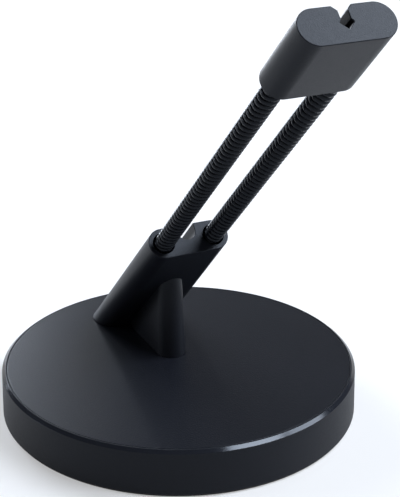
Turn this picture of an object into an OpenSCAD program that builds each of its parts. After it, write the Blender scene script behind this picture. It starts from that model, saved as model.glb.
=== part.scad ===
// Mouse bungee: a weighted round base, a slanted post and two coil springs
// that hold the mouse cord up and away from the desk in a slotted head.
// The origin is the centre of the base's underside. +Z is up, the post stands
// at the back (+Y) and the arm leans forward over the base (-Y).

/* [Base] */
// Outside diameter of the base at its bottom edge
base_d = 92.2; // [88:0.2:110]
// Height of the base, with its rubber foot
base_h = 12.3; // [11.5:0.1:16]
// Width of the chamfer round the top rim
rim_chamfer_w = 0.85; // [0.4:0.05:1.5]
// Height of the chamfer round the top rim
rim_chamfer_h = 0.7; // [0.4:0.05:1.5]
// Flat land between the chamfer and the top plate's gap
rim_land = 0.35; // [0.3:0.05:1.5]
// Draft of the shell's outer wall, in degrees
shell_draft = 1.2; // [0.5:0.1:2]
// Small chamfer on the shell's bottom edge
shell_edge = 0.15; // [0.1:0.05:0.4]
// Thickness of the shell's side wall at its bottom edge
shell_wall = 2.4; // [1.8:0.1:4]
// Thickness of the shell's web under the top plate
shell_web = 2; // [1.6:0.1:2.6]

/* [Top plate] */
// Thickness of the textured plate let into the top
plate_t = 1.2; // [0.8:0.1:1.5]
// Hairline gap round the top plate
plate_gap = 0.15; // [0.1:0.05:0.3]
// Gap between the top plate and the post that passes through it
foot_gap = 0.12; // [0.1:0.01:0.25]

/* [Underside] */
// Thickness of the rubber foot
foot_t = 0.6; // [0.6:0.1:1.2]
// How far the rubber foot lies inside the shell's outer edge
foot_inset = 0.5; // [0.3:0.1:1.5]
// Depth of the ring grooves moulded in the foot
foot_groove = 0.25; // [0.15:0.05:0.35]
// Thickness of the bottom cover
cover_t = 1.4; // [1.2:0.1:2]
// Clearance between the bottom cover and the shell's wall
cover_gap = 0.1; // [0.05:0.01:0.3]

/* [Weight] */
// Thickness of the steel weight
weight_t = 5; // [4:0.1:5.6]
// Clearance between the weight and the shell's wall
weight_gap = 0.8; // [0.5:0.1:3]

/* [Screws] */
// Diameter of the cover's self-tapping screws
cover_screw_d = 2.6; // [2.2:0.1:3]
// Outside diameter of the shell's screw bosses
boss_d = 6; // [5.4:0.1:7]
// Distance from the shell's wall to the middle of a boss
boss_inset = 6.5; // [5:0.1:9]
// Diameter of the post's machine screws
post_screw_d = 3; // [2.5:0.1:3.2]
// Outside diameter of the brass inserts in the post
insert_d = 4.2; // [3.9:0.1:4.6]
// Length of the brass inserts
insert_len = 5; // [4:0.1:6]
// Distance between the two rear screws
rear_screw_span = 12.4; // [11.5:0.1:14]

/* [Post] */
// Lean of the post and the spring arm from upright, in degrees
arm_tilt = 45; // [40:0.5:50]
// Distance behind the base's centre at which the arm's centreline meets the top
post_offset = 30.2; // [28:0.1:33]
// Width of the post at its top face
post_w = 21.3; // [20:0.1:24]
// Thickness of the post
post_t = 7.9; // [7.2:0.1:9]
// Length of the post along its centreline, above the base
post_len = 51.6; // [45:0.1:60]
// Flare of each side of the post towards its foot, in degrees
post_flare = 0.9; // [0.2:0.1:1.5]
// Width of the cord groove in the post's back
groove_w = 4.7; // [4.2:0.1:5]
// Depth of the cord groove in the post's back
groove_depth = 4.1; // [3:0.1:4.4]

/* [Leg] */
// Width of the leg where it stands on the base
leg_w = 7.6; // [7:0.1:9]
// Draft of each side of the leg, in degrees
leg_draft = 1.6; // [0.5:0.1:2]
// Backward lean of the leg's nose, in degrees
leg_lean = 2.4; // [0.5:0.1:4]
// Distance from the base's centre back to the front of the leg
leg_front = 0.9; // [-2:0.1:4]

/* [Springs] */
// Outside diameter of each coil spring
spring_d = 4.8; // [4.2:0.05:5.2]
// Diameter of the spring wire
wire_d = 1.6; // [1.2:0.05:1.6]
// Distance from one turn to the next
spring_pitch = 1.63; // [1.62:0.01:2]
// Distance between the two springs' axes
spring_span = 13.4; // [12.5:0.1:14]
// Free length of the springs between the post and the head
spring_free = 78.6; // [60:0.1:100]
// Length of spring held in the post
post_seat = 10; // [6:0.5:14]
// Length of spring held in the head
head_seat = 8; // [5:0.5:10]
// Radial clearance of the springs in their sockets
socket_gap = 0.3; // [0.2:0.05:0.4]

/* [Head] */
// Width of the head
head_w = 21.4; // [20:0.1:24]
// Thickness of the head
head_t = 8.2; // [7.4:0.1:9]
// Length of the head along the arm
head_len = 20; // [16:0.5:28]
// Small chamfer on the head's edges
head_edge = 0.15; // [0.1:0.05:0.4]
// How far the head sits back from the springs' axes
head_back = 0.15; // [0:0.05:0.4]
// Width of the throat of the cord slot
slot_w = 2.1; // [1.6:0.1:2.6]
// Chamfer that leads the cord into the slot
slot_lead = 1.1; // [0.6:0.1:1.6]
// Width of the slot's square pocket, corner to corner
pocket_w = 3.2; // [2.9:0.1:3.6]
// Depth of the pocket's middle below the head's back
pocket_depth = 3.7; // [3.2:0.1:4]

/* [Hidden] */
$fn = 96;

// Colours
plastic_col = "#2b2e35";
plate_col = "#34373e";
spring_col = "#1c1e22";
steel_col = "#8b9096";
brass_col = "#b39a56";
rubber_col = "#1a1b1d";
foam_col = "#3a3b3e";

// Overlap that carries a cut past the face that it opens
eps = 0.05;
// Length that reaches past any part of the model
far = 300;

// Heights of the layers of the base, from the desk up
cover_z = foot_t;
foam_z = cover_z + cover_t;
seat_z = base_h - plate_t;
web_z = seat_z - shell_web;
weight_z = web_z - weight_t;
foam_t = weight_z - foam_z;

// Radii of the base
base_r = base_d / 2;
shell_in_r = base_r - shell_wall;
rim_r = base_r - (base_h - foot_t) * tan(shell_draft);
recess_r = rim_r - rim_chamfer_w - rim_land;
boss_ring_r = shell_in_r - boss_inset;
boss_clear = 0.4;
boss_count = 4;
boss_turn = 45;

// Ring grooves of the foot: their width, and the step in from its edge to each
foot_ring_w = 1.2;
foot_ring_step = 4.5;
foot_ring_count = 2;

// Screws: clearance in a threaded hole, clearance in a plain hole, and head sizes
thread_gap = 0.05;
hole_gap = 0.2;
cover_head_r = cover_screw_d / 2 + 1;
cover_head_h = cover_t - 0.2;
cover_screw_len = 5;
pilot_spare = 0.6;
post_head_r = post_screw_d / 2 + 1.25;
post_head_h = 2;
post_head_sink = 0.4;
head_bore_gap = 0.35;
drive_r = 1.1;
drive_depth = 0.9;
front_screw_back = 2;

// Springs: end plugs, and the facets of the coiled wire
plug_head_t = 1.6;
plug_gap = 0.1;
plug_shank_len = 5;
wire_sides = 5;
turn_steps = 10;

// Places along the arm, measured from where its centreline meets the base's top
post_socket_z = post_len - post_seat - plug_head_t;
head_z = post_len + spring_free;
head_socket_depth = head_seat + plug_head_t;
spring_z = post_len - post_seat;
spring_len = post_seat + spring_free + head_seat;

// Screw places: two behind each other's side in the post, one in the leg
leg_axis_y = leg_front + leg_w / 2;
rear_screw_y = post_offset - (seat_z + insert_len / 2 - base_h) * tan(arm_tilt);
POST_SCREWS = [
    [-rear_screw_span / 2, rear_screw_y],
    [rear_screw_span / 2, rear_screw_y],
    [0, leg_axis_y + front_screw_back]
];

// Puts its children in the arm's frame: z runs up the arm, y points up and back
module arm_frame() {
    translate([0, post_offset, base_h]) rotate([arm_tilt, 0, 0]) children();
}

// Puts its children at each screw boss of the shell
module at_bosses() {
    for (i = [0 : boss_count - 1])
        rotate([0, 0, boss_turn + i * 360 / boss_count])
            translate([boss_ring_r, 0, 0])
                children();
}

// Puts its children at each screw of the post
module at_post_screws() {
    for (p = POST_SCREWS)
        translate([p[0], p[1], 0]) children();
}

// Everything above a level
module above(z) {
    translate([-far, -far, z]) cube([2 * far, 2 * far, far]);
}

// Turned cup: side wall, web and the recess that takes the top plate
module shell_cup() {
    rotate_extrude()
        polygon([
            [0, web_z],
            [shell_in_r, web_z],
            [shell_in_r, foot_t],
            [base_r - shell_edge, foot_t],
            [base_r, foot_t + shell_edge],
            [rim_r, base_h - rim_chamfer_h],
            [rim_r - rim_chamfer_w, base_h],
            [recess_r, base_h],
            [recess_r, seat_z],
            [0, seat_z]
        ]);
}

module base_shell() {
    pilot_h = cover_screw_len + pilot_spare;
    color(plastic_col)
        difference() {
            union() {
                shell_cup();
                at_bosses() translate([0, 0, foam_z]) cylinder(d = boss_d, h = web_z + eps - foam_z);
            }
            at_bosses()
                translate([0, 0, foam_z - eps])
                    cylinder(r = cover_screw_d / 2 + thread_gap, h = pilot_h + eps);
            at_post_screws()
                translate([0, 0, web_z - eps])
                    cylinder(r = post_screw_d / 2 + hole_gap, h = shell_web + 2 * eps);
        }
}

module top_plate() {
    color(plate_col)
        difference() {
            translate([0, 0, seat_z]) cylinder(r = recess_r - plate_gap, h = plate_t);
            post_form(foot_gap);
        }
}

module steel_weight() {
    color(steel_col)
        difference() {
            translate([0, 0, weight_z]) cylinder(r = shell_in_r - weight_gap, h = weight_t);
            at_bosses()
                translate([0, 0, weight_z - eps])
                    cylinder(d = boss_d + 2 * boss_clear, h = weight_t + 2 * eps);
            at_post_screws() {
                translate([0, 0, weight_z - eps])
                    cylinder(r = post_screw_d / 2 + hole_gap, h = weight_t + 2 * eps);
                translate([0, 0, weight_z - eps])
                    cylinder(r = post_head_r + head_bore_gap, h = post_head_sink + post_head_h + eps);
            }
        }
}

module foam_pad() {
    color(foam_col)
        difference() {
            translate([0, 0, foam_z]) cylinder(r = shell_in_r - 2 * weight_gap, h = foam_t);
            at_bosses()
                translate([0, 0, foam_z - eps])
                    cylinder(d = boss_d + 2 * boss_clear, h = foam_t + 2 * eps);
        }
}

// Outline of a countersunk screw's head and shank, as turned about the screw's axis
module cover_screw_form(gap) {
    rotate_extrude()
        polygon([
            [0, 0],
            [cover_head_r + gap, 0],
            [cover_screw_d / 2 + gap, cover_head_h],
            [cover_screw_d / 2 + gap, cover_t],
            [0, cover_t]
        ]);
}

module bottom_cover() {
    color(plastic_col)
        difference() {
            translate([0, 0, cover_z]) cylinder(r = shell_in_r - cover_gap, h = cover_t);
            at_bosses() {
                translate([0, 0, cover_z]) cover_screw_form(hole_gap);
                translate([0, 0, cover_z - eps]) cylinder(r = cover_head_r + hole_gap, h = 2 * eps);
                translate([0, 0, cover_z])
                    cylinder(r = cover_screw_d / 2 + hole_gap, h = cover_t + eps);
            }
        }
}

module cover_screws() {
    color(steel_col)
        at_bosses()
            translate([0, 0, cover_z])
                difference() {
                    union() {
                        cover_screw_form(0);
                        cylinder(d = cover_screw_d, h = cover_t + cover_screw_len);
                    }
                    translate([0, 0, -eps]) cylinder(r = drive_r, h = drive_depth + eps, $fn = 6);
                }
}

// Ring that a groove of the foot takes out of its underside
module foot_ring(ring_r) {
    rotate_extrude()
        translate([ring_r - foot_ring_w, -eps])
            square([foot_ring_w, foot_groove + eps]);
}

module rubber_foot() {
    foot_r = base_r - foot_inset;
    color(rubber_col)
        difference() {
            cylinder(r = foot_r, h = foot_t);
            for (k = [1 : foot_ring_count])
                foot_ring(foot_r - k * foot_ring_step);
        }
}

// Flat blade with full-round sides that flare towards the foot, in the arm's frame
module blade(grow) {
    side_r = post_t / 2;
    top_x = post_w / 2 - side_r;
    drop = post_len + base_d;
    foot_x = top_x + drop * tan(post_flare);
    rotate([90, 0, 0])
        linear_extrude(post_t + 2 * grow, center = true)
            polygon([
                [-foot_x, post_len - drop],
                [foot_x, post_len - drop],
                [top_x, post_len],
                [-top_x, post_len]
            ]);
    for (side = [-1, 1])
        translate([side * top_x, 0, post_len])
            rotate([0, side * -post_flare, 0])
                translate([0, 0, -drop])
                    cylinder(r = side_r + grow, h = drop + post_t);
}

// Upright leg under the blade: a drafted rib with a round nose
module leg(grow) {
    leg_r = leg_w / 2;
    leg_h = post_len;
    sunk = base_h;
    low_r = leg_r + sunk * tan(leg_draft) + grow;
    top_r = leg_r - leg_h * tan(leg_draft) + grow;
    back = post_offset - leg_axis_y;
    translate([0, leg_axis_y, base_h])
        rotate([-leg_lean, 0, 0])
            translate([0, 0, -sunk]) {
                cylinder(r1 = low_r, r2 = top_r, h = sunk + leg_h);
                rotate([90, 0, 180])
                    linear_extrude(back)
                        polygon([
                            [-low_r, 0],
                            [low_r, 0],
                            [top_r, sunk + leg_h],
                            [-top_r, sunk + leg_h]
                        ]);
            }
}

// Blade and leg as one moulding, down to the shell's web
module post_form(grow) {
    intersection() {
        union() {
            intersection() {
                arm_frame() blade(grow);
                arm_frame()
                    translate([-far, -far, post_len - far])
                        cube([2 * far, 2 * far, far]);
            }
            intersection() {
                leg(grow);
                arm_frame() translate([-far, -far, -far]) cube([2 * far, far, 2 * far]);
            }
        }
        above(seat_z);
    }
}

// Round-bottomed channel for the cord, open at the back and at the post's top
module cord_groove() {
    groove_r = groove_w / 2;
    floor_y = post_t / 2 - groove_depth + groove_r;
    intersection() {
        arm_frame()
            translate([0, 0, -post_len]) {
                translate([0, floor_y, 0]) cylinder(r = groove_r, h = 3 * post_len);
                translate([-groove_r, floor_y, 0]) cube([groove_w, post_t, 3 * post_len]);
            }
        above(base_h);
    }
}

// A socket for a spring on each side of the arm's centreline
module sockets(z, depth) {
    for (side = [-1, 1])
        translate([side * spring_span / 2, 0, z])
            cylinder(r = spring_d / 2 + socket_gap, h = depth);
}

module post() {
    color(plastic_col)
        difference() {
            post_form(0);
            cord_groove();
            arm_frame() sockets(post_socket_z, post_len - post_socket_z + eps);
            at_post_screws()
                translate([0, 0, seat_z - eps])
                    cylinder(d = insert_d, h = insert_len + eps);
        }
}

module post_inserts() {
    color(brass_col)
        at_post_screws()
            translate([0, 0, seat_z])
                difference() {
                    cylinder(d = insert_d, h = insert_len);
                    translate([0, 0, -eps])
                        cylinder(r = post_screw_d / 2 + thread_gap, h = insert_len + 2 * eps);
                }
}

module post_screws() {
    head_z0 = weight_z + post_head_sink;
    color(steel_col)
        at_post_screws()
            translate([0, 0, head_z0])
                difference() {
                    union() {
                        cylinder(r = post_head_r, h = post_head_h);
                        cylinder(d = post_screw_d, h = seat_z + insert_len - head_z0 - thread_gap);
                    }
                    translate([0, 0, -eps]) cylinder(r = drive_r, h = drive_depth + eps, $fn = 6);
                }
}

// Steel end plug: a disc that fills the socket's floor and a pin inside the coil
module plug() {
    pin_r = spring_d / 2 - wire_d - plug_gap;
    cylinder(r = spring_d / 2 + socket_gap - plug_gap, h = plug_head_t);
    cylinder(r = pin_r, h = plug_head_t + plug_shank_len);
}

module lower_plug(side) {
    color(steel_col)
        arm_frame()
            translate([side * spring_span / 2, 0, post_socket_z]) plug();
}

module upper_plug(side) {
    color(steel_col)
        arm_frame()
            translate([side * spring_span / 2, 0, head_z + head_socket_depth])
                mirror([0, 0, 1]) plug();
}

// One ring of points round the wire, after a number of steps along the coil
function wire_ring(step) =
    let (
        turn = step * 360 / turn_steps,
        rise = wire_d / 2 + step * spring_pitch / turn_steps,
        mean_r = (spring_d - wire_d) / 2
    )
    [
        for (j = [0 : wire_sides - 1])
            let (
                a = j * 360 / wire_sides,
                r = mean_r + cos(a) * wire_d / 2
            )
            [r * cos(turn), r * sin(turn), rise + sin(a) * wire_d / 2]
    ];

// Close-wound coil, right-handed about the arm
module coil() {
    steps = floor((spring_len - wire_d) / spring_pitch * turn_steps);
    points = [for (i = [0 : steps]) each wire_ring(i)];
    sides = [
        for (i = [0 : steps - 1], j = [0 : wire_sides - 1])
            let (
                a = i * wire_sides + j,
                b = i * wire_sides + (j + 1) % wire_sides
            )
            [a, b, b + wire_sides, a + wire_sides]
    ];
    start_cap = [for (j = [0 : wire_sides - 1]) wire_sides - 1 - j];
    end_cap = [for (j = [0 : wire_sides - 1]) steps * wire_sides + j];
    polyhedron(points, concat(sides, [start_cap, end_cap]));
}

module left_spring_form() {
    arm_frame() translate([-spring_span / 2, 0, spring_z]) coil();
}

module spring_left() {
    color(spring_col) left_spring_form();
}

module spring_right() {
    color(spring_col) mirror([1, 0, 0]) left_spring_form();
}

// Outline of half the head's thickness, from the arm's centreline out
module head_half() {
    r = head_t / 2;
    polygon([
        [0, 0],
        [r - head_edge, 0],
        [r, head_edge],
        [r, head_len - head_edge],
        [r - head_edge, head_len],
        [0, head_len]
    ]);
}

// Block with full-round sides and chamfered edges
module head_block() {
    side_x = (head_w - head_t) / 2;
    for (side = [-1, 1])
        translate([side * side_x, 0, 0]) rotate_extrude() head_half();
    translate([-side_x, 0, 0])
        rotate([90, 0, 90])
            linear_extrude(2 * side_x) {
                head_half();
                mirror([1, 0, 0]) head_half();
            }
}

// Cord slot: chamfered mouth, straight throat and a square pocket set on its corner
module cord_slot() {
    back = head_t / 2;
    pocket_y = back - pocket_depth;
    half_w = slot_w / 2;
    translate([0, 0, -eps])
        linear_extrude(head_len + 2 * eps)
            union() {
                polygon([
                    [-half_w, pocket_y],
                    [half_w, pocket_y],
                    [half_w, back - slot_lead],
                    [half_w + slot_lead + eps, back + eps],
                    [-half_w - slot_lead - eps, back + eps],
                    [-half_w, back - slot_lead]
                ]);
                translate([0, pocket_y])
                    rotate([0, 0, 45])
                        square(pocket_w / sqrt(2), center = true);
            }
}

module head() {
    color(plastic_col)
        arm_frame()
            translate([0, 0, head_z])
                difference() {
                    translate([0, head_back, 0]) head_block();
                    translate([0, head_back, 0]) cord_slot();
                    sockets(-eps, head_socket_depth + eps);
                }
}

base_shell();
top_plate();
steel_weight();
foam_pad();
bottom_cover();
cover_screws();
rubber_foot();
post();
post_inserts();
post_screws();
lower_plug(-1);  // lower_plug_left
lower_plug(1);  // lower_plug_right
spring_left();
spring_right();
upper_plug(-1);  // upper_plug_left
upper_plug(1);  // upper_plug_right
head();
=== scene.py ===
import math

import bmesh
import bpy
from mathutils import Matrix, Vector


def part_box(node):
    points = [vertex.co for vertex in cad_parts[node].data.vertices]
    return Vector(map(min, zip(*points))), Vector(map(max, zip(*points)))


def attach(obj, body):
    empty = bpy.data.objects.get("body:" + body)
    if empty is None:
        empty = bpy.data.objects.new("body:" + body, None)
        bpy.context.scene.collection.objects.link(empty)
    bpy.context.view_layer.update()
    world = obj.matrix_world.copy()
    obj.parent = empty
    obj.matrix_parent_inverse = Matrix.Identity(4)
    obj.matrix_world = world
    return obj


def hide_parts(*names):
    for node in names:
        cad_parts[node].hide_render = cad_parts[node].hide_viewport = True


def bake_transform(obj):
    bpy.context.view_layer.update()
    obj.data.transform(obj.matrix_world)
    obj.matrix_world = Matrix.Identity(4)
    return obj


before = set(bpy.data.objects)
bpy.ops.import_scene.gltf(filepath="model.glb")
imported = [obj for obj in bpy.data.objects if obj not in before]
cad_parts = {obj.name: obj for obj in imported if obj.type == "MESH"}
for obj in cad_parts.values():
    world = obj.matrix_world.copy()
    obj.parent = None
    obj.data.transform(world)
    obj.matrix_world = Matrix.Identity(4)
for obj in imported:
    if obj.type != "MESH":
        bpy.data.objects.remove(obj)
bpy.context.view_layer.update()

# The photographer's camera: a short telephoto above the head's height and a little left of the
# arm, so that the base's top, the post's side and the head's end all show.
mm = 0.001
camera_place = (-0.13317, -0.28989, 0.18077)
camera_turn = -25.66
camera_rise = 23.25
camera_roll = 0.10
camera_lens = 99.6
camera_near = 0.01
camera_far = 50

turn, rise = math.radians(camera_turn), math.radians(camera_rise)
backward = Vector((
    math.sin(turn) * math.cos(rise),
    -math.cos(turn) * math.cos(rise),
    math.sin(rise),
))
camera_data = bpy.data.cameras.new("camera")
camera_data.lens = camera_lens
camera_data.clip_start = camera_near
camera_data.clip_end = camera_far
camera = bpy.data.objects.new("camera", camera_data)
bpy.context.scene.collection.objects.link(camera)
aim = (-backward).to_track_quat("-Z", "Y").to_matrix()
roll = Matrix.Rotation(math.radians(camera_roll), 3, "Z")
camera.matrix_world = Matrix.Translation(camera_place) @ (aim @ roll).to_4x4()
bpy.context.scene.camera = camera
bpy.context.scene.view_settings.view_transform = "Standard"

# The studio: a pale floor that fades into a white backdrop, and soft boxes round the object. Those
# behind give the sheen on the base's top, the two high on the right light the rim and the head's
# end, and a low one in front fills the base's side.
floor_reach = 9
floor_drop = 0.05 * mm
floor_sides = 96
floor_roughness = 0.9
floor_gloss = 0.1
floor_grey = 0.5
floor_lift = 0.37
fade_start = 0.25
fade_end = 1.1
white = (1, 1, 1, 1)
backdrop_glow = 0.97
backdrop_low = 0.12
backdrop_high = 0.24
sky_light = 0.07
lamp_colour = (0.9, 0.97, 1.08)
box_distance = 1.0
box_aim = Vector((0, 0, 40 * mm))

# Azimuth (0 in front, 90 on the right) and elevation in degrees, width, height and strength.
soft_boxes = {
    "back_box": (178, 11, 0.36, 0.3, 14.0),
    "back_left_box": (193, 22, 0.34, 0.34, 14.0),
    "far_left_box": (242, 22, 0.34, 0.3, 6.5),
    "back_right_box": (118, 54, 0.34, 0.34, 3.0),
    "overhead_box": (56, 57, 0.64, 0.32, 14.5),
    "right_box": (77, 42, 0.36, 0.34, 9.0),
    "front_box": (62, 4, 0.34, 0.22, 10.0),
}


def plain_material(name):
    """A new material, with its nodes, its links and its shader."""
    material = bpy.data.materials.new(name)
    material.use_nodes = True
    nodes = material.node_tree.nodes
    return material, nodes, material.node_tree.links, nodes["Principled BSDF"]


def fades(nodes, links, source, near, far, first, last):
    """Turns a socket that runs from near to far into a value that runs from first to last."""
    fade = nodes.new("ShaderNodeMapRange")
    fade.interpolation_type = "SMOOTHSTEP"
    fade.inputs["From Min"].default_value = near
    fade.inputs["From Max"].default_value = far
    fade.inputs["To Min"].default_value = first
    fade.inputs["To Max"].default_value = last
    links.new(source, fade.inputs["Value"])
    return fade.outputs["Result"]


def seen_not_lit(nodes, links, target, strength):
    """Feeds a strength to a target for the rays that look: the camera's, reflections, and glass."""
    rays = nodes.new("ShaderNodeLightPath")
    looks = rays.outputs["Is Camera Ray"]
    for ray in ("Is Glossy Ray", "Is Transmission Ray"):
        either = nodes.new("ShaderNodeMath")
        either.operation = "MAXIMUM"
        links.new(looks, either.inputs[0])
        links.new(rays.outputs[ray], either.inputs[1])
        looks = either.outputs[0]
    scale = nodes.new("ShaderNodeMath")
    scale.operation = "MULTIPLY"
    links.new(looks, scale.inputs[0])
    links.new(strength, scale.inputs[1])
    links.new(scale.outputs[0], target)


def soft_box(name, azimuth, elevation, width, height, strength):
    """A rectangular soft box that faces the object."""
    a, e = math.radians(azimuth), math.radians(elevation)
    outward = Vector((math.sin(a) * math.cos(e), -math.cos(a) * math.cos(e), math.sin(e)))
    lamp = bpy.data.lights.new(name, "AREA")
    lamp.shape = "RECTANGLE"
    lamp.size = width
    lamp.size_y = height
    lamp.energy = strength * width * height * math.pi
    lamp.color = lamp_colour
    box = bpy.data.objects.new(name, lamp)
    bpy.context.scene.collection.objects.link(box)
    box.rotation_mode = "QUATERNION"
    box.rotation_quaternion = outward.to_track_quat("Z", "Y")
    box.location = outward * box_distance + box_aim


bpy.ops.mesh.primitive_circle_add(
    vertices=floor_sides, radius=floor_reach, fill_type="NGON", location=(0, 0, -floor_drop)
)
floor = bpy.context.object
floor.name = "floor"
material, nodes, links, shader = plain_material("floor_paper")
shader.inputs["Roughness"].default_value = floor_roughness
shader.inputs["Specular IOR Level"].default_value = floor_gloss
shader.inputs["Emission Color"].default_value = white
middle = nodes.new("ShaderNodeTexCoord")
distance = nodes.new("ShaderNodeVectorMath")
distance.operation = "LENGTH"
links.new(middle.outputs["Object"], distance.inputs[0])
away = distance.outputs["Value"]
links.new(fades(nodes, links, away, fade_start, fade_end, floor_grey, 0),
          shader.inputs["Base Color"])
seen_not_lit(nodes, links, shader.inputs["Emission Strength"],
             fades(nodes, links, away, fade_start, fade_end, floor_lift, backdrop_glow))
floor.data.materials.append(material)

for name, settings in soft_boxes.items():
    soft_box(name, *settings)

world = bpy.data.worlds.new("studio")
bpy.context.scene.world = world
world.use_nodes = True
nodes, links = world.node_tree.nodes, world.node_tree.links
surround = nodes["Background"]
surround.inputs["Color"].default_value = white
direction = nodes.new("ShaderNodeTexCoord")
height = nodes.new("ShaderNodeSeparateXYZ")
both = nodes.new("ShaderNodeMath")
both.operation = "ADD"
both.inputs[1].default_value = sky_light
links.new(direction.outputs["Generated"], height.inputs["Vector"])
links.new(both.outputs[0], surround.inputs["Strength"])
seen_not_lit(nodes, links, both.inputs[0],
             fades(nodes, links, height.outputs["Z"], backdrop_low, backdrop_high,
                   backdrop_glow - sky_light, 0))

# Base shell: the round cup that is the base's outside, moulded in black ABS with a very fine
# satin texture. Its top rim has a polished chamfer. Inside are the web under the top plate, four
# bosses for the cover's screws, and three holes through which the post is screwed down.
shell_low, shell_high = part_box("base_shell")
base_r = shell_high.x
base_h = shell_high.z
shell_foot_z = shell_low.z
shell_wall = 2.4 * mm
shell_web = 2 * mm
shell_draft = math.radians(1.2)
shell_edge = 0.15 * mm
rim_chamfer_w = 0.85 * mm
rim_chamfer_h = 0.7 * mm
rim_land = 0.35 * mm
plate_t = 1.2 * mm
seat_z = base_h - plate_t
web_z = seat_z - shell_web
rim_r = base_r - (base_h - shell_foot_z) * math.tan(shell_draft)
recess_r = rim_r - rim_chamfer_w - rim_land
shell_in_r = base_r - shell_wall
web_corner = 0.3 * mm
wall_corner = 0.1 * mm
foot_corner = 0.08 * mm
rim_corner = 0.06 * mm
recess_corner = 0.05 * mm
boss_angles = (45, 135, 225, 315)
boss_d = 6 * mm
boss_inset = 6.5 * mm
boss_z = 2 * mm
pilot_d = 2.7 * mm
pilot_depth = 5.6 * mm
arm_tilt = math.radians(45)
post_offset = 30.2 * mm
post_hole_d = 3.4 * mm
insert_len = 5 * mm
rear_screw_span = 12.4 * mm
leg_w = 7.6 * mm
leg_front = 0.9 * mm
front_screw_back = 2 * mm
lathe_steps = 320
rod_steps = 48
corner_steps = 3
overlap = 0.05 * mm
weld = 0.0005 * mm
smooth_angle = 32
plastic_dark = (0.006, 0.0067, 0.0096)
plastic_light = (0.008, 0.009, 0.0128)
plastic_gloss = 0.18
cool_sheen = (0.86, 0.92, 1, 1)
noise_low = 0.3
noise_high = 0.7
shell_roughness = 0.52
shell_grain = 0.3 * mm
shell_grain_depth = 0.022 * mm
chamfer_dark = (0.011, 0.0122, 0.0165)
chamfer_light = (0.013, 0.0145, 0.0195)
chamfer_roughness = 0.13
chamfer_gloss = 0.34
chamfer_grain = 0.6 * mm
chamfer_grain_depth = 0.001 * mm


def soft_corners(points):
    """An outline whose corners are rounded. Each point is (radius, height, corner radius)."""
    outline = []
    for before, here, after in zip(points[-1:] + points[:-1], points, points[1:] + points[:1]):
        corner = Vector(here[:2])
        if not here[2]:
            outline.append(corner)
            continue
        back_way = (Vector(before[:2]) - corner).normalized()
        on_way = (Vector(after[:2]) - corner).normalized()
        half = back_way.angle(on_way) / 2
        reach = here[2] / math.tan(half)
        centre = corner + (back_way + on_way).normalized() * (here[2] / math.sin(half))
        first = corner + back_way * reach - centre
        sweep = first.angle_signed(corner + on_way * reach - centre)
        for i in range(corner_steps + 1):
            outline.append(centre + Matrix.Rotation(-sweep * i / corner_steps, 2) @ first)
    return outline


def finished(name, bm, body, angle=smooth_angle):
    """An object from a bmesh, in the row frame, with smooth shading up to an angle."""
    bmesh.ops.remove_doubles(bm, verts=bm.verts, dist=weld)
    bmesh.ops.recalc_face_normals(bm, faces=bm.faces)
    mesh = bpy.data.meshes.new(name)
    bm.to_mesh(mesh)
    bm.free()
    mesh.shade_smooth()
    mesh.set_sharp_from_angle(angle=math.radians(angle))
    piece = bpy.data.objects.new(name, mesh)
    bpy.context.scene.collection.objects.link(piece)
    if body:
        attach(piece, body)
    return piece


def apply_modifiers(piece):
    """Turns a piece's modifiers into its own mesh."""
    shape = piece.evaluated_get(bpy.context.evaluated_depsgraph_get())
    mesh = bpy.data.meshes.new_from_object(shape)
    mesh.name = piece.name
    piece.modifiers.clear()
    piece.data = mesh


def even_shading(piece):
    """Smooth shading whose normals leave the flats flat up to a rounded edge."""
    piece.data.shade_smooth()
    piece.data.set_sharp_from_angle(angle=math.radians(smooth_angle))
    weighted = piece.modifiers.new("even_shading", "WEIGHTED_NORMAL")
    weighted.keep_sharp = True
    apply_modifiers(piece)


def lathe(name, outline, body):
    """A turned piece: a closed outline of (radius, height) points, spun about the Z axis."""
    bm = bmesh.new()
    on_axis = 0.001 * mm
    rings = []
    for point in outline:
        if point.x < on_axis:
            rings.append([bm.verts.new((0, 0, point.y))] * lathe_steps)
            continue
        rings.append([
            bm.verts.new((
                point.x * math.cos(math.tau * i / lathe_steps),
                point.x * math.sin(math.tau * i / lathe_steps),
                point.y,
            ))
            for i in range(lathe_steps)
        ])
    for low, high in zip(rings, rings[1:] + rings[:1]):
        for i in range(lathe_steps):
            corners = [low[i - 1], low[i], high[i], high[i - 1]]
            face = list(dict.fromkeys(corners))
            if len(face) > 2:
                bm.faces.new(face)
    return finished(name, bm, body)


def boolean(piece, tool, operation="DIFFERENCE"):
    """Cuts or joins with a tool, which is used up."""
    step = piece.modifiers.new("step", "BOOLEAN")
    step.operation = operation
    step.solver = "EXACT"
    step.object = tool
    apply_modifiers(piece)
    bpy.data.objects.remove(tool)


def rod(diameter, low, high, spot):
    """An upright round rod at a spot in plan, used to cut holes and to add bosses."""
    bm = bmesh.new()
    bmesh.ops.create_cone(
        bm,
        cap_ends=True,
        segments=rod_steps,
        radius1=diameter / 2,
        radius2=diameter / 2,
        depth=high - low,
        matrix=Matrix.Translation((spot[0], spot[1], (low + high) / 2)),
    )
    return finished("rod", bm, None)


def grain(nodes, links, shader, size, depth):
    """Moulded texture: fine, uneven bumps of a size and depth."""
    place = nodes.new("ShaderNodeTexCoord")
    fine = nodes.new("ShaderNodeTexNoise")
    fine.inputs["Scale"].default_value = 1 / size
    fine.inputs["Detail"].default_value = 3
    fine.inputs["Roughness"].default_value = 0.6
    bump = nodes.new("ShaderNodeBump")
    bump.inputs["Distance"].default_value = depth
    links.new(place.outputs["Object"], fine.inputs["Vector"])
    links.new(fine.outputs["Fac"], bump.inputs["Height"])
    links.new(bump.outputs["Normal"], shader.inputs["Normal"])
    return place, fine, bump


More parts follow.
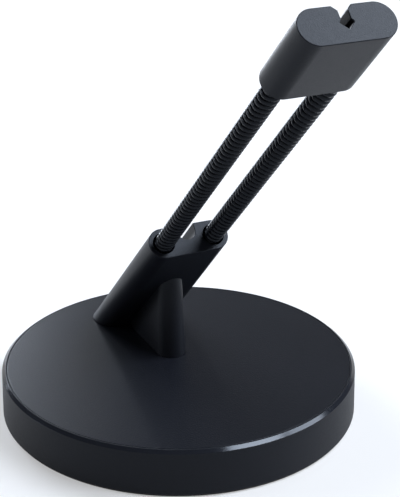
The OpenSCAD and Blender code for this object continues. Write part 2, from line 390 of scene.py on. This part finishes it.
def uneven_gloss(nodes, links, shader, place, size, low, high):
    """Lets a shader's roughness change unevenly from low to high over a size."""
    slow = nodes.new("ShaderNodeTexNoise")
    slow.inputs["Scale"].default_value = 1 / size
    slow.inputs["Detail"].default_value = 4
    spread = nodes.new("ShaderNodeMapRange")
    spread.inputs["From Min"].default_value = noise_low
    spread.inputs["From Max"].default_value = noise_high
    spread.inputs["To Min"].default_value = low
    spread.inputs["To Max"].default_value = high
    links.new(place.outputs["Object"], slow.inputs["Vector"])
    links.new(slow.outputs["Fac"], spread.inputs["Value"])
    links.new(spread.outputs["Result"], shader.inputs["Roughness"])


def tinted(nodes, links, shader, texture, dark, light):
    """Colours a shader from dark to light by a texture's height."""
    ramp = nodes.new("ShaderNodeValToRGB")
    ramp.color_ramp.elements[0].position = noise_low
    ramp.color_ramp.elements[0].color = (*dark, 1)
    ramp.color_ramp.elements[1].position = noise_high
    ramp.color_ramp.elements[1].color = (*light, 1)
    links.new(texture.outputs["Fac"], ramp.inputs["Fac"])
    links.new(ramp.outputs["Color"], shader.inputs["Base Color"])


def satin_plastic(name, dark, light, roughness, size, depth, gloss=plastic_gloss):
    """Black moulded plastic with a fine texture that scatters its gloss."""
    material, nodes, links, shader = plain_material(name)
    shader.inputs["Specular IOR Level"].default_value = gloss
    shader.inputs["Specular Tint"].default_value = cool_sheen
    place, fine, _ = grain(nodes, links, shader, size, depth)
    tinted(nodes, links, shader, fine, dark, light)
    uneven_gloss(nodes, links, shader, place, 2 * size, 0.95 * roughness, 1.05 * roughness)
    return material


shell = lathe(
    "base_shell_moulding",
    soft_corners([
        (0, web_z, 0),
        (shell_in_r, web_z, web_corner),
        (shell_in_r, shell_foot_z, wall_corner),
        (base_r - shell_edge, shell_foot_z, foot_corner),
        (base_r, shell_foot_z + shell_edge, foot_corner),
        (rim_r, base_h - rim_chamfer_h, rim_corner),
        (rim_r - rim_chamfer_w, base_h, rim_corner),
        (recess_r, base_h, recess_corner),
        (recess_r, seat_z, 0),
        (0, seat_z, 0),
    ]),
    "stand",
)
boss_ring_r = shell_in_r - boss_inset
for boss_angle in boss_angles:
    a = math.radians(boss_angle)
    spot = (boss_ring_r * math.cos(a), boss_ring_r * math.sin(a))
    boolean(shell, rod(boss_d, boss_z, web_z + overlap, spot), "UNION")
    boolean(shell, rod(pilot_d, boss_z - overlap, boss_z + pilot_depth, spot))

leg_axis_y = leg_front + leg_w / 2
rear_screw_y = post_offset - (insert_len / 2 - plate_t) * math.tan(arm_tilt)
post_screw_spots = [
    (-rear_screw_span / 2, rear_screw_y),
    (rear_screw_span / 2, rear_screw_y),
    (0, leg_axis_y + front_screw_back),
]
for spot in post_screw_spots:
    boolean(shell, rod(post_hole_d, web_z - overlap, seat_z + overlap, spot))
shell.data.materials.append(satin_plastic(
    "shell_plastic", plastic_dark, plastic_light, shell_roughness, shell_grain, shell_grain_depth
))
shell.data.materials.append(satin_plastic(
    "polished_chamfer", chamfer_dark, chamfer_light, chamfer_roughness, chamfer_grain,
    chamfer_grain_depth, chamfer_gloss
))
for face in shell.data.polygons:
    radius = math.hypot(face.center.x, face.center.y)
    on_chamfer = rim_r - rim_chamfer_w < radius < rim_r
    if on_chamfer and face.center.z > base_h - rim_chamfer_h:
        face.material_index = 1
even_shading(shell)
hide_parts("base_shell")

# Rubber foot: a black rubber disc, moulded with two ring grooves and glued under the base so
# that the bungee doesn't slide on the desk.
foot_inset = 0.5 * mm
foot_groove = 0.25 * mm
foot_ring_w = 1.2 * mm
foot_ring_step = 4.5 * mm
foot_ring_count = 2
foot_r = base_r - foot_inset
groove_lip = 0.05 * mm
groove_root = 0.08 * mm
foot_low_corner = 0.12 * mm
foot_high_corner = 0.03 * mm
rubber_dark = (0.012, 0.012, 0.013)
rubber_light = (0.02, 0.02, 0.021)
rubber_grain = 0.3 * mm
rubber_grain_depth = 0.01 * mm
bloom_size = 5 * mm

foot_outline = [(0, shell_foot_z, 0), (0, 0, 0)]
for k in range(foot_ring_count, 0, -1):
    ring_out = foot_r - k * foot_ring_step
    ring_in = ring_out - foot_ring_w
    foot_outline += [
        (ring_in, 0, groove_lip),
        (ring_in, foot_groove, groove_root),
        (ring_out, foot_groove, groove_root),
        (ring_out, 0, groove_lip),
    ]
foot_outline += [(foot_r, 0, foot_low_corner), (foot_r, shell_foot_z, foot_high_corner)]
foot = lathe("rubber_foot_disc", soft_corners(foot_outline), "stand")


def rubber(name, dark, light):
    """Matte black rubber with a faint bloom and a fine moulded grain."""
    material, nodes, links, shader = plain_material(name)
    place, fine, _ = grain(nodes, links, shader, rubber_grain, rubber_grain_depth)
    tinted(nodes, links, shader, fine, dark, light)
    uneven_gloss(nodes, links, shader, place, bloom_size, 0.7, 0.85)
    return material


foot.data.materials.append(rubber("foot_rubber", rubber_dark, rubber_light))
even_shading(foot)
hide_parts("rubber_foot")

# Post: one moulding of the leaning blade and the upright leg under it, in the same black plastic
# as the shell. The blade has round sides, two sockets for the springs in its top, and a
# round-bottomed cord groove down its back. Three screws from below clamp its foot to the base.
post_w = 21.3 * mm
post_t = 7.9 * mm
post_len = 51.6 * mm
post_flare = math.radians(0.9)
post_edge = 0.16 * mm
post_seat = 10 * mm
groove_w = 4.7 * mm
groove_depth = 4.1 * mm
leg_draft = math.radians(1.6)
leg_lean = math.radians(2.4)
spring_d = 4.8 * mm
spring_span = 13.4 * mm
socket_gap = 0.3 * mm
plug_head_t = 1.6 * mm
insert_d = 4.2 * mm
side_steps = 40
socket_steps = 64
edge_angle = 35
edge_steps = 3
arm_roughness = 0.42
arm_grain = 0.3 * mm
arm_grain_depth = 0.04 * mm


def on_arm(x, y, z):
    """A point of the arm's frame, in which z runs up the arm and y points up and back."""
    return Vector((
        x,
        post_offset + y * math.cos(arm_tilt) - z * math.sin(arm_tilt),
        base_h + y * math.sin(arm_tilt) + z * math.cos(arm_tilt),
    ))


def along_arm(y, level):
    """The height up the arm at which the line at y meets a level above the desk."""
    return (level - base_h - y * math.sin(arm_tilt)) / math.cos(arm_tilt)


def loft(bm, rings):
    """Closes a solid through rings of as many points each, with flat ends."""
    loops = [[bm.verts.new(p) for p in ring] for ring in rings]
    for low, high in zip(loops, loops[1:]):
        for i in range(len(low)):
            bm.faces.new([low[i - 1], low[i], high[i], high[i - 1]])
    bm.faces.new(loops[0])
    bm.faces.new(loops[-1])


def arc(radius, first, last, steps, centre=(0, 0)):
    """Points on an arc from one angle to another, in degrees."""
    angles = [math.radians(first + (last - first) * i / steps) for i in range(steps + 1)]
    return [(centre[0] + radius * math.cos(a), centre[1] + radius * math.sin(a)) for a in angles]


def blade(grow, low_z):
    """The flat blade with full-round sides that flare towards its foot, cut level at low_z."""
    side_r = post_t / 2 + grow
    top_x = post_w / 2 - post_t / 2
    sides = [(1, x, y) for x, y in arc(side_r, -90, 90, side_steps)]
    sides += [(-1, x, y) for x, y in arc(side_r, 90, 270, side_steps)]
    foot_ring, top_ring = [], []
    for side, x, y in sides:
        low = along_arm(y, low_z)
        low_x = side * (top_x + (post_len - low) * math.tan(post_flare))
        foot_ring.append(on_arm(low_x + x, y, low))
        top_ring.append(on_arm(side * top_x + x, y, post_len))
    bm = bmesh.new()
    loft(bm, [foot_ring, top_ring])
    return finished("blade", bm, None)


def leg(grow, low_z):
    """The upright rib under the blade: drafted sides, a round nose that leans back a little."""
    low_r = leg_w / 2 + base_h * math.tan(leg_draft) + grow
    top_r = leg_w / 2 - post_len * math.tan(leg_draft) + grow
    back = post_offset - leg_axis_y
    lean = Matrix.Translation((0, leg_axis_y, base_h)) @ Matrix.Rotation(-leg_lean, 4, "X")
    rings = []
    for radius, z in ((low_r, -base_h), (top_r, post_len)):
        outline = arc(radius, 180, 360, side_steps) + [(radius, back), (-radius, back)]
        rings.append([lean @ Vector((x, y, z)) for x, y in outline])
    bm = bmesh.new()
    loft(bm, rings)
    blade_middle = on_arm(0, 0, 0)
    for spot, way in ((Vector((0, 0, low_z)), Vector((0, 0, -1))),
                      (blade_middle, on_arm(0, 1, 0) - blade_middle)):
        cut = bmesh.ops.bisect_plane(
            bm, geom=bm.verts[:] + bm.edges[:] + bm.faces[:], plane_co=spot, plane_no=way,
            clear_outer=True,
        )
        rim = [e for e in cut["geom_cut"] if isinstance(e, bmesh.types.BMEdge)]
        bmesh.ops.contextual_create(bm, geom=rim)
    return finished("leg", bm, None)


def post_form(grow, low_z):
    """Blade and leg as one solid, grown outwards and cut level at low_z."""
    form = blade(grow, low_z)
    boolean(form, leg(grow, low_z), "UNION")
    return form


def channel():
    """The cord groove's tool: a round floor and straight sides, from the base's top upwards."""
    groove_r = groove_w / 2
    floor_y = post_t / 2 - groove_depth + groove_r
    outline = arc(groove_r, 180, 360, side_steps, (0, floor_y))
    outline += [(groove_r, post_t), (-groove_r, post_t)]
    foot_ring = [on_arm(x, y, along_arm(y, base_h)) for x, y in outline]
    top_ring = [on_arm(x, y, post_len + post_t) for x, y in outline]
    bm = bmesh.new()
    loft(bm, [foot_ring, top_ring])
    return finished("channel", bm, None)


def arm_rod(diameter, x, low, high):
    """A round rod along the arm, used to cut the springs' sockets."""
    outline = arc(diameter / 2, 0, 360 - 360 / socket_steps, socket_steps - 1)
    bm = bmesh.new()
    loft(bm, [[on_arm(x + px, py, z) for px, py in outline] for z in (low, high)])
    return finished("arm_rod", bm, None)


def rounded_edges(piece, width):
    """Rounds a moulding's sharp edges."""
    bevel = piece.modifiers.new("edges", "BEVEL")
    bevel.width = width
    bevel.segments = edge_steps
    bevel.limit_method = "ANGLE"
    bevel.angle_limit = math.radians(edge_angle)
    bevel.use_clamp_overlap = False
    bevel.miter_outer = "MITER_ARC"
    apply_modifiers(piece)


post = post_form(0, seat_z)
post.name = "post_moulding"
boolean(post, channel())
socket_d = spring_d + 2 * socket_gap
for side in (-1, 1):
    boolean(post, arm_rod(socket_d, side * spring_span / 2,
                          post_len - post_seat - plug_head_t, post_len + overlap))
for spot in post_screw_spots:
    boolean(post, rod(insert_d, seat_z - overlap, seat_z + insert_len, spot))
rounded_edges(post, post_edge)
even_shading(post)
post.data.materials.clear()
arm_plastic = satin_plastic(
    "arm_plastic", plastic_dark, plastic_light, arm_roughness, arm_grain, arm_grain_depth
)
post.data.materials.append(arm_plastic)
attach(post, "stand")
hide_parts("post")

# Top plate: a thin disc with an even, sand-like grain, let into the shell's rim with a hairline
# gap and opened closely round the post's foot. It is moulded in black plastic and glued in.
plate_gap = 0.15 * mm
plate_corner = 0.1 * mm
foot_gap = 0.12 * mm
plate_r = recess_r - plate_gap
plate_dark = (0.0055, 0.0062, 0.0088)
plate_light = (0.0095, 0.0107, 0.0152)
plate_roughness = 0.33
plate_gloss = 0.27
grit = 0.36 * mm
grit_depth = 0.045 * mm
grit_to_dust = 3.5

plate = lathe(
    "top_plate_disc",
    soft_corners([
        (0, seat_z, 0),
        (plate_r, seat_z, 0),
        (plate_r, base_h, plate_corner),
        (0, base_h, 0),
    ]),
    None,
)
boolean(plate, post_form(foot_gap, seat_z - overlap))


def grained_plastic(name, dark, light, roughness):
    """Plastic with an even, sand-like grain: rounded grit over a finer dust."""
    material, nodes, links, shader = plain_material(name)
    shader.inputs["Specular IOR Level"].default_value = plate_gloss
    shader.inputs["Specular Tint"].default_value = cool_sheen
    place, coarse, bump = grain(nodes, links, shader, grit, grit_depth)
    coarse.inputs["Detail"].default_value = 1
    dust = nodes.new("ShaderNodeTexNoise")
    dust.inputs["Scale"].default_value = grit_to_dust / grit
    dust.inputs["Detail"].default_value = 2
    under = nodes.new("ShaderNodeBump")
    under.inputs["Distance"].default_value = grit_depth / grit_to_dust
    links.new(place.outputs["Object"], dust.inputs["Vector"])
    links.new(dust.outputs["Fac"], under.inputs["Height"])
    links.new(under.outputs["Normal"], bump.inputs["Normal"])
    tinted(nodes, links, shader, coarse, dark, light)
    uneven_gloss(nodes, links, shader, place, 2 * grit, 0.92 * roughness, 1.1 * roughness)
    return material


plate.data.materials.clear()
plate.data.materials.append(
    grained_plastic("plate_plastic", plate_dark, plate_light, plate_roughness)
)
even_shading(plate)
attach(plate, "stand")
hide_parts("top_plate")

# Springs: two close-wound coils of round steel wire, coated black, of opposite winding. Their ends
# are held on plugs in the post and in the head. Each is made in a lower and an upper stretch,
# because the arm bends forward and back in its lower half and sideways in its upper half.
wire_d = 1.6 * mm
spring_pitch = 1.63 * mm
spring_free = 78.6 * mm
head_seat = 8 * mm
nod_end = 89 * mm
sway_start = 92 * mm
wire_steps = 16
turn_steps = 44
wire_smooth_angle = 60
spring_z = post_len - post_seat
spring_len = post_seat + spring_free + head_seat
spring_turns = math.floor((spring_len - wire_d) / spring_pitch * 10) / 10
split_turn = round(((nod_end + sway_start) / 2 - spring_z) / spring_pitch)
coat_dark = (0.004, 0.0045, 0.0062)
coat_light = (0.006, 0.0068, 0.0094)
coat_roughness = 0.24
coat_gloss = 0.16
coat_sheen = (0.8, 0.88, 1, 1)
coat_grain = 0.3 * mm
coat_grain_depth = 0.004 * mm
rubbed_size = 1.5 * mm


def coil(name, side, first_turn, last_turn):
    """A stretch of a coil, from one turn to another. The left one is right-handed."""
    mean_r = (spring_d - wire_d) / 2
    steps = round((last_turn - first_turn) * turn_steps)
    rings = []
    for i in range(steps + 1):
        at = first_turn + i / turn_steps
        angle = math.tau * at
        climb = wire_d / 2 + at * spring_pitch
        ring = []
        for j in range(wire_steps):
            a = math.tau * j / wire_steps
            r = mean_r + math.cos(a) * wire_d / 2
            x = r * math.cos(angle) - spring_span / 2
            ring.append(on_arm(-side * x, r * math.sin(angle),
                               spring_z + climb + math.sin(a) * wire_d / 2))
        rings.append(ring)
    bm = bmesh.new()
    loft(bm, rings)
    return finished(name, bm, None, wire_smooth_angle)


def coated_steel(name, dark, light, roughness):
    """Spring wire with a thin black coat: semi-gloss, with fine drawing marks and rubbed spots."""
    material, nodes, links, shader = plain_material(name)
    shader.inputs["Specular IOR Level"].default_value = coat_gloss
    shader.inputs["Specular Tint"].default_value = coat_sheen
    place, fine, _ = grain(nodes, links, shader, coat_grain, coat_grain_depth)
    tinted(nodes, links, shader, fine, dark, light)
    uneven_gloss(nodes, links, shader, place, rubbed_size, roughness - 0.05, roughness + 0.08)
    return material


spring_steel = coated_steel("spring_steel", coat_dark, coat_light, coat_roughness)
for side, word in ((-1, "left"), (1, "right")):
    lower = coil(f"spring_{word}_lower", side, 0, split_turn)
    upper = coil(f"spring_{word}_upper", side, split_turn, spring_turns)
    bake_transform(lower)
    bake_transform(upper)
    for stretch in (lower, upper):
        stretch.data.materials.append(spring_steel)
        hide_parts(f"spring_{word}")

# Head: a stadium-shaped block moulded in the same plastic as the post. Its lower end has the
# sockets that hold the springs, and its back has the cord slot: a chamfered mouth, a narrow throat
# and a square pocket set on its corner, which runs the head's whole length.
head_w = 21.4 * mm
head_t = 8.2 * mm
head_len = 19.95 * mm
head_edge = 0.18 * mm
head_back = 0.15 * mm
slot_w = 2.1 * mm
slot_lead = 1.1 * mm
pocket_w = 3.2 * mm
pocket_depth = 3.7 * mm
head_z = post_len + spring_free
side_r = head_t / 2
side_x = head_w / 2 - side_r
throat = slot_w / 2
pocket_r = pocket_w / 2
pocket_y = side_r - pocket_depth
throat_y = pocket_y + pocket_r - throat

half_slot = [
    (throat + slot_lead, side_r),
    (throat, side_r - slot_lead),
    (throat, throat_y),
    (pocket_r, pocket_y),
    (0, pocket_y - pocket_r),
]
head_outline = (
    arc(side_r, -90, 90, side_steps, (side_x, 0))
    + half_slot
    + [(-x, y) for x, y in reversed(half_slot[:-1])]
    + arc(side_r, 90, 270, side_steps, (-side_x, 0))
)
bm = bmesh.new()
loft(bm, [[on_arm(x, y + head_back, z) for x, y in head_outline]
          for z in (head_z, head_z + head_len)])
head = finished("head_moulding", bm, None)
for side in (-1, 1):
    boolean(head, arm_rod(socket_d, side * spring_span / 2, head_z - overlap,
                          head_z + head_seat + plug_head_t))
rounded_edges(head, head_edge)
even_shading(head)
head.data.materials.clear()
head.data.materials.append(arm_plastic)
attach(head, "head")
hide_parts("head")

# What the base and the sockets hold inside: the steel weight on its foam pad, the bottom cover
# and its screws, the post's brass inserts and machine screws, and the springs' steel end plugs.
# Their shapes are the frame's own, so they only get their materials here.
steel_dark = (0.4, 0.41, 0.43)
steel_light = (0.52, 0.53, 0.55)
brass_dark = (0.55, 0.42, 0.17)
brass_light = (0.66, 0.52, 0.24)
foam_dark = (0.035, 0.035, 0.04)
foam_light = (0.06, 0.06, 0.066)
cover_dark = (0.016, 0.017, 0.021)
cover_light = (0.022, 0.023, 0.028)
cover_roughness = 0.5
cover_grain = 0.4 * mm
cover_grain_depth = 0.01 * mm
mark_size = 0.5 * mm
mark_depth = 0.003 * mm
sheen_size = 2 * mm


def metal(name, dark, light, roughness):
    """Plated or turned metal with fine marks and an uneven sheen."""
    material, nodes, links, shader = plain_material(name)
    shader.inputs["Metallic"].default_value = 1
    place, fine, _ = grain(nodes, links, shader, mark_size, mark_depth)
    tinted(nodes, links, shader, fine, dark, light)
    uneven_gloss(nodes, links, shader, place, sheen_size, roughness - 0.06, roughness + 0.08)
    return material


plated_steel = metal("plated_steel", steel_dark, steel_light, 0.35)
hidden_finishes = {
    "steel_weight": plated_steel,
    "cover_screws": plated_steel,
    "post_screws": plated_steel,
    "lower_plug_left": plated_steel,
    "lower_plug_right": plated_steel,
    "upper_plug_left": plated_steel,
    "upper_plug_right": plated_steel,
    "post_inserts": metal("turned_brass", brass_dark, brass_light, 0.3),
    "foam_pad": rubber("foam", foam_dark, foam_light),
    "bottom_cover": satin_plastic("cover_plastic", cover_dark, cover_light, cover_roughness,
                                  cover_grain, cover_grain_depth),
}
for name, finish in hidden_finishes.items():
    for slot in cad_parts[name].material_slots:
        slot.material = finish
